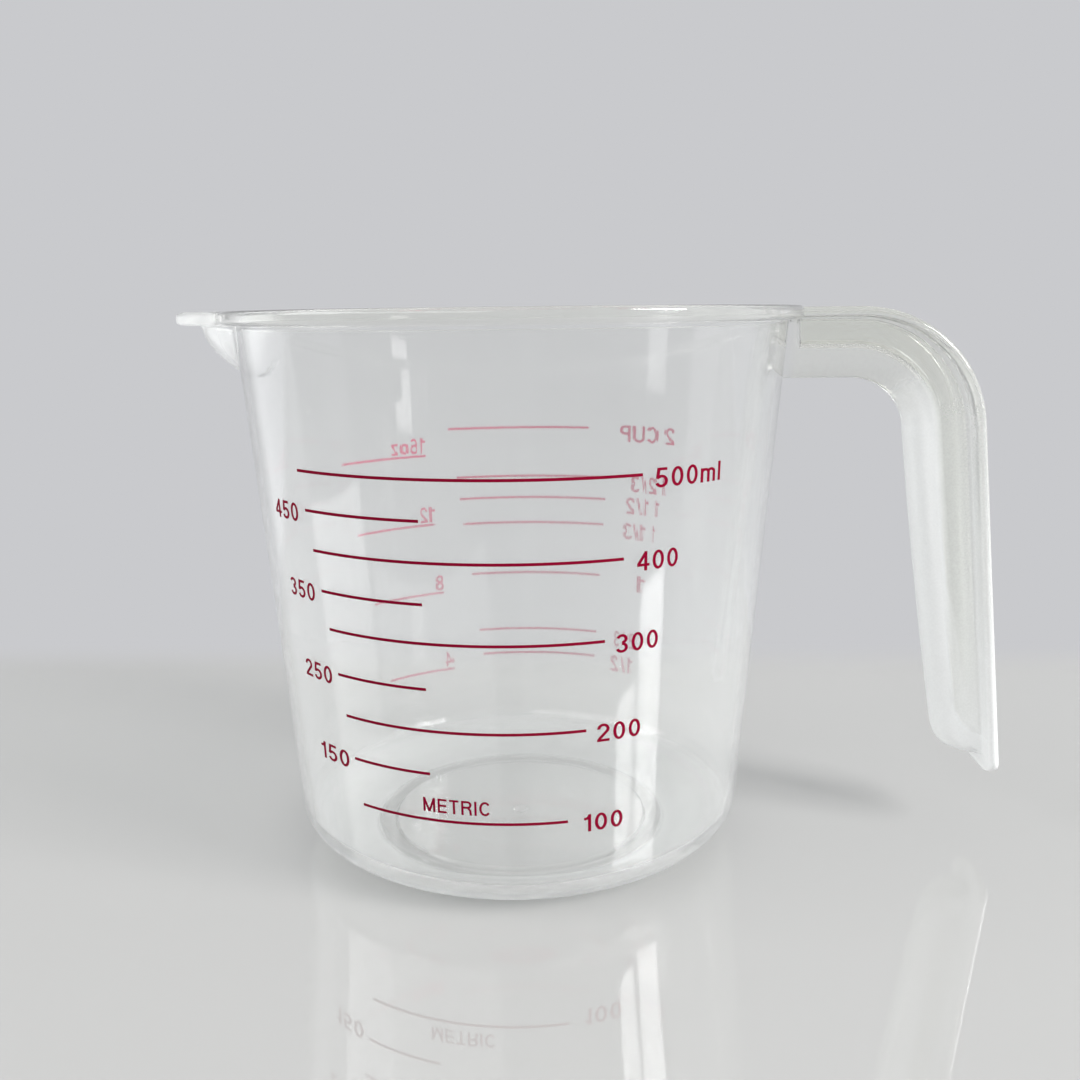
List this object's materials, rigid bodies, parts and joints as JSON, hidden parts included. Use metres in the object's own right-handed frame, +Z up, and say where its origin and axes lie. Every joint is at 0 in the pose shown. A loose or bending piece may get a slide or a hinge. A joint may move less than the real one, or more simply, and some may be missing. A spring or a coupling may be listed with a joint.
{
  "type": "measuring jug",
  "caption": "Clear moulded kitchen measuring jug with a flanged rim, a pouring lip, an open hook handle with a pressed channel, and printed volume scales on its front and back.",
  "frame": {"origin": "on the table, under the middle of the jug's overall box, which lies between the cup's axis and the handle", "axes": "+Z up along the cup's axis, +X towards the handle, pouring lip towards -X, metric scale facing -Y"},
  "size_m": [0.1594, 0.1082, 0.1035],
  "materials": {
    "clear_plastic": "natural polypropylene, translucent and slightly milky, glossy on the cup and satin on the handle",
    "ink": "dark red printing ink, one pass, satin"
  },
  "bodies": {
    "root": {"jug_body": "clear_plastic", "mark_100_ml": "ink", "mark_150_ml": "ink", "mark_200_ml": "ink", "mark_250_ml": "ink", "mark_300_ml": "ink", "mark_350_ml": "ink", "mark_400_ml": "ink", "mark_450_ml": "ink", "mark_500_ml": "ink", "mark_half_cup": "ink", "mark_two_thirds_cup": "ink", "mark_one_cup": "ink", "mark_one_and_a_third_cups": "ink", "mark_one_and_a_half_cups": "ink", "mark_one_and_two_thirds_cups": "ink", "mark_two_cups": "ink", "mark_4_oz": "ink", "mark_8_oz": "ink", "mark_12_oz": "ink", "mark_16_oz": "ink"}
  },
  "joints": []
}
